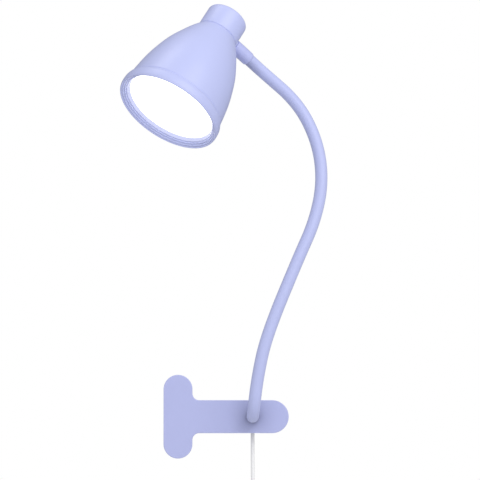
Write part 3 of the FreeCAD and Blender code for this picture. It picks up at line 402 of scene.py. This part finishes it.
def tube_rings(points, radius, sides=28):
    """Rings along a line, turned as little as possible from one to the next."""
    rings = []
    tangent = (points[1] - points[0]).normalized()
    normal = tangent.orthogonal().normalized()
    for i, p in enumerate(points):
        t = (points[min(i + 1, len(points) - 1)] - points[max(i - 1, 0)]).normalized()
        turn = tangent.rotation_difference(t)
        normal = turn @ normal
        normal = (normal - t * normal.dot(t)).normalized()
        tangent = t
        other = t.cross(normal)
        angles = [2 * math.pi * k / sides for k in range(sides)]
        rings.append([p + (normal * math.cos(a) + other * math.sin(a)) * radius for a in angles])
    return rings


line = neck_line()
line_rings = tube_rings(line, NECK_R)
at_joint = [min(range(len(line)), key=lambda i: (line[i] - j).length) for j in JOINTS]
splits = [0] + [(a + b) // 2 for a, b in zip(at_joint, at_joint[1:])] + [len(line) - 1]
for k in range(5):
    bm = bmesh.new()
    lo, hi = splits[k], splits[k + 1]
    join_rings(bm, [[bm.verts.new(v * MM) for v in ring] for ring in line_rings[lo:hi + 1]])
    replaced = ["neck_sleeve_1", "neck_sleeve_2"] if k == 0 else ["neck_sleeve_%d" % (k + 2)]
    piece = mesh_piece("neck_skin_%d" % (k + 1), bm, None, "lavender_sleeve", replaced)
    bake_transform(piece)

# ------------------------------------------------------------------ ferrule, shade and light
FERRULE_R = 5.6
ferrule_at = axis_matrix(CORNERS[-1], HEAD_DIR)
bm = bmesh.new()
ferrule = [(4.92, 0.05), (5.0, 0.02), (5.15, 0.15), (5.4, 0.65), (5.55, 1.3), (FERRULE_R, 2.0),
           (FERRULE_R, 14.6)]
ferrule += arc(FERRULE_R - 0.5, 16.2, 0.5, 0, 90, 4) + [(3.1, 16.7), (3.1, 8.2), (4.92, 8.2)]
turned(bm, ferrule, ferrule_at, 64)
mesh_piece("ferrule_sleeve", bm, "neck_6", "lavender_metal", ["head_ferrule"])

# the shade's axis, out of its mouth, square to the swivel
SHADE_N = Vector((-0.4595, -0.4316, -0.7762))
SHADE_N = (SHADE_N - HEAD_DIR * SHADE_N.dot(HEAD_DIR)).normalized()
TO_AXIS, TO_LENS = 33.9, 82.7
NECK_AXIS = CORNERS[-1] + HEAD_DIR * TO_AXIS
LENS = NECK_AXIS + SHADE_N * TO_LENS
shade_at = axis_matrix(LENS, -SHADE_N, HEAD_DIR)

bell = through([(40.75, 7.0), (39.76, 15.6), (38.0, 27.3), (35.2, 39.0), (31.45, 50.7), (26.06, 62.4),
                (21.12, 71.8), (16.5, 78.8)], 10)
bell_in = through([(38.15, 11.4), (37.65, 15.6), (35.95, 27.3), (33.15, 39.0), (29.4, 50.7), (24.0, 62.4),
                   (19.1, 71.8), (14.45, 78.8)], 6)
rim_band = through([(42.58, -3.2), (42.84, -2.0), (42.9, -0.9), (42.84, 1.1), (42.66, 2.8), (42.2, 4.3),
                    (41.9, 4.9)], 6)
lip = through([(41.7, -3.98), (41.88, -4.14), (42.12, -4.04), (42.42, -3.62), (42.58, -3.2)], 4)[:-1]
crease = [(41.45, 5.35), (40.9, 5.7), (40.55, 5.95), (40.5, 6.2), (40.6, 6.5)]
outer = lip + rim_band + crease + bell[:-1] + [(16.75, 78.4), (16.5, 78.8)]
profile = outer + [(14.45, 78.8)] + bell_in[::-1][1:] + [(38.0, 3.8), (41.02, 3.8), (41.02, -3.2)]
bm = bmesh.new()
turned(bm, profile, shade_at, 160)
mesh_piece("shade_shell", bm, "head", "lavender_plastic", ["shade_bell"], smooth_angle=30)

CAP_R, CAP_TOP = 16.91, 98.85
CAP_ROUND = 3.0
cap = [(14.3, 73.0), (14.3, 78.81), (CAP_R - 0.35, 78.81), (CAP_R - 0.1, 79.0), (CAP_R, 79.5)]
cap += arc(CAP_R - CAP_ROUND, CAP_TOP - CAP_ROUND, CAP_ROUND, 0, 90, 10) + [(0.0, CAP_TOP)]
bm = bmesh.new()
turned(bm, cap, shade_at, 128, closed=False)
boss_at = axis_matrix(NECK_AXIS, -HEAD_DIR)
boss = [(5.9, 14.6), (5.55, 15.6)] + arc(5.5 - 0.4, 16.6, 0.4, 0, 90, 4) + [(3.2, 17.0)]
turned(bm, boss, boss_at, 64, closed=False)
mesh_piece("shade_neck", bm, "head", "lavender_plastic", ["shade_cap"], smooth_angle=30)

# stepped ring inside the rim: two fine steps, then a bevel with a faint painted glow that stands in for the disc's
# light falling on it
steps = [(40.98, 0.0), (40.98, -3.2), (40.5, -3.2), (40.3, -3.1), (39.6, -2.0), (39.5, -1.9),
         (39.0, -1.9), (38.86, -1.8), (38.42, -0.75), (38.35, -0.65), (38.0, -0.65), (37.86, -0.62)]
bevel = [(37.86, -0.62), (37.0, 0.65), (36.3, 1.68), (36.22, 1.8), (38.0, 1.8), (40.95, 1.8), (40.95, 0.0)]
bm = bmesh.new()
turned(bm, steps, shade_at, 256, closed=False)
mesh_piece("bezel_steps", bm, "head", "lavender_plastic", ["bezel_ring"], smooth_angle=28)
bm = bmesh.new()
turned(bm, bevel, shade_at, 256, closed=False)
mesh_piece("bezel_bevel", bm, "head", "bevel_painted_glow", smooth_angle=28)
bm = bmesh.new()
chamfer = [(41.0, -3.15), (41.0, -3.22), (41.35, -3.6), (41.71, -3.99), (41.65, -3.85)]
turned(bm, chamfer, shade_at, 256, closed=False)
mesh_piece("rim_chamfer", bm, "head", "lavender_plastic", smooth_angle=40)

bm = bmesh.new()
disc = [(0.0, 1.82), (20.0, 1.82), (36.0, 1.82), (40.5, 1.84), (40.8, 2.1), (40.8, 3.7), (0.0, 3.7)]
turned(bm, disc, shade_at, 128, closed=False)
mesh_piece("opal_disc", bm, "head", "opal_diffuser", ["diffuser"], smooth_angle=30)

# ------------------------------------------------------------------ torsion springs
HINGE = Vector((40.0, 12.0, 0.0))
WIRE_R, COIL_R, PITCH = 0.7, 4.2, 1.5
FIRST_TURN_Z = 3.0
WIRE_GAP = 0.05
REAR_JAW_Y, LEG = 14.5, 26.0
shut = math.radians(27.2)
along_jaw = Vector((math.cos(shut), math.sin(shut), 0))
across_jaw = Vector((-math.sin(shut), math.cos(shut), 0))
to_rear = HINGE + along_jaw * LEG + across_jaw * (REAR_JAW_Y - WIRE_R - WIRE_GAP)
to_front = Vector((62.0, -2.5 + WIRE_R + WIRE_GAP, 0))


def leaves_coil(leg, way):
    """Angle at which a straight leg to that place, from the coil's centre, leaves the coil."""
    return math.atan2(leg.y, leg.x) + way * math.atan2(math.sqrt(leg.length ** 2 - COIL_R ** 2), COIL_R)


a0, a1 = leaves_coil(to_rear - HINGE, 1), leaves_coil(to_front - HINGE, -1)
turns = 3.0 + ((a1 - a0) / (2 * math.pi)) % 1.0
for side, label in ((1, "upper"), (-1, "lower")):
    rear_end = Vector((to_rear.x, to_rear.y, FIRST_TURN_Z))
    count = int(turns * 28)
    coil = []
    for i in range(count + 1):
        a = a0 + turns * 2 * math.pi * i / count
        z = FIRST_TURN_Z + PITCH * turns * i / count
        coil.append(HINGE + Vector((COIL_R * math.cos(a), COIL_R * math.sin(a), z)))
    lead = [rear_end.lerp(coil[0], t / 10) for t in range(10)]
    tail_end = Vector((to_front.x, to_front.y, coil[-1].z))
    tail = [coil[-1].lerp(tail_end, t / 10) for t in range(1, 11)]
    path = [Vector((p.x, p.y, p.z * side)) for p in lead + coil + tail]
    bm = bmesh.new()
    rings = [[bm.verts.new(v * MM) for v in ring] for ring in tube_rings(path, WIRE_R, sides=12)]
    join_rings(bm, rings)
    bm.faces.new(rings[0][::-1])
    bm.faces.new(rings[-1])
    piece = mesh_piece("spring_" + label, bm, None, "dull_steel", ["torsion_springs"] if side == 1 else (),
                       smooth_angle=50)
    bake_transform(piece)

# ------------------------------------------------------------------ printed signs on the buttons
BUTTON_FACE_Y = 1.65
PRINT = 0.06
RING_IN, RING_OUT = 2.75, 3.55


def sign(name, body, z, shapes):
    """Flat printed shapes on a button's face.  Each shape is a list of convex outlines in
    millimetres, right and up as the controller is read, which is upside down as it hangs."""
    bm = bmesh.new()
    for pts in shapes:
        front = [bm.verts.new(Vector((NECK_X - u, BUTTON_FACE_Y - PRINT, z - v)) * MM) for u, v in pts]
        back = [bm.verts.new(Vector((NECK_X - u, BUTTON_FACE_Y + PRINT, z - v)) * MM) for u, v in pts]
        bm.faces.new(front)
        bm.faces.new(back[::-1])
        for i in range(len(pts)):
            j = (i + 1) % len(pts)
            bm.faces.new((front[i], back[i], back[j], front[j]))
    mesh_piece(name, bm, body, "switch_black", smooth_angle=20)


def ring_parts(r0, r1, start=0.0, end=360.0, step=9.0):
    """A ring or part of one, as short blocks end to end; angles run from the right."""
    count = int(round((end - start) / step))
    out = []
    for i in range(count):
        a, b = (math.radians(start + (end - start) * k / count) for k in (i, i + 1))
        out.append([(r0 * math.cos(a), r0 * math.sin(a)), (r1 * math.cos(a), r1 * math.sin(a)),
                    (r1 * math.cos(b), r1 * math.sin(b)), (r0 * math.cos(b), r0 * math.sin(b))])
    return out


def bar(x0, x1, y0, y1):
    """A straight stroke as one rectangle."""
    return [(x0, y0), (x1, y0), (x1, y1), (x0, y1)]


ARM, HALF = 1.7, 0.4
whole = ring_parts(RING_IN, RING_OUT)
MODE_R = 1.75
half_disc = [[(0.0, 0.0)] + [(MODE_R * math.cos(math.radians(a)), MODE_R * math.sin(math.radians(a)))
                             for a in range(-90, 91, 10)]]
plus = [bar(-ARM, ARM, -HALF, HALF), bar(-HALF, HALF, HALF, ARM), bar(-HALF, HALF, -ARM, -HALF)]
sign("sign_plus", "brighter", -190.0, whole + plus)
sign("sign_mode", "mode", -176.8, whole + half_disc + ring_parts(1.35, MODE_R, 90, 270))
sign("sign_minus", "dimmer", -163.6, whole + [bar(-ARM, ARM, -HALF, HALF)])
open_ring = ring_parts(RING_IN, RING_OUT, 122.0, 418.0)
sign("sign_power", "power", -150.4, open_ring + [bar(-HALF, HALF, 0.9, 4.1)])

# ------------------------------------------------------------------ stage and light
FLOOR_Z = -0.30
floor_mesh = bpy.data.meshes.new("floor")
bm = bmesh.new()
bmesh.ops.create_circle(bm, cap_ends=True, segments=96, radius=3.0)
bm.to_mesh(floor_mesh)
bm.free()
floor = bpy.data.objects.new("floor", floor_mesh)
floor.location = (0.05, 0.0, FLOOR_Z)
scene.collection.objects.link(floor)
floor_mat = finish_surface("floor_pale", srgb(240, 240, 242), 0.8, bump=0.05, grain=60, mottle=0.01)
floor_mesh.materials.append(floor_mat)

# the studio is seen white; it lights the lamp softly from the front and less from behind
FRONT, BEHIND, SEEN = 0.93, 0.26, 1.0
world = bpy.data.worlds.new("studio")
scene.world = world
world.use_nodes = True
sky = world.node_tree
bg = sky.nodes["Background"]
bg.inputs["Color"].default_value = (1.0, 1.0, 1.0, 1.0)
path_kind = sky.nodes.new("ShaderNodeLightPath")
direction = sky.nodes.new("ShaderNodeTexCoord")
parts = sky.nodes.new("ShaderNodeSeparateXYZ")
sky.links.new(direction.outputs["Generated"], parts.inputs["Vector"])
depth = sky.nodes.new("ShaderNodeMapRange")
depth.inputs["From Min"].default_value = -1.0
depth.inputs["From Max"].default_value = 1.0
depth.inputs["To Min"].default_value = FRONT
depth.inputs["To Max"].default_value = BEHIND
sky.links.new(parts.outputs["Y"], depth.inputs["Value"])
level = sky.nodes.new("ShaderNodeMix")
level.inputs["B"].default_value = SEEN
sky.links.new(path_kind.outputs["Is Camera Ray"], level.inputs["Factor"])
sky.links.new(depth.outputs["Result"], level.inputs["A"])
sky.links.new(level.outputs["Result"], bg.inputs["Strength"])


def area(name, location, target, size, power):
    """A soft rectangular light at location, facing target."""
    data = bpy.data.lights.new(name, "AREA")
    data.shape = "RECTANGLE"
    data.size, data.size_y = size
    data.energy = power
    o = bpy.data.objects.new(name, data)
    scene.collection.objects.link(o)
    o.location = location
    o.rotation_mode = "QUATERNION"
    o.rotation_quaternion = (Vector(target) - Vector(location)).to_track_quat("-Z", "Y")


area("key", (0.55, -0.75, 0.8), (0.03, 0, 0.20), (0.9, 0.8), 5.0)
area("top", (-0.22, -0.03, 1.12), (0.0, -0.03, 0.26), (0.30, 0.36), 0.9)
scene.view_settings.view_transform = "Standard"
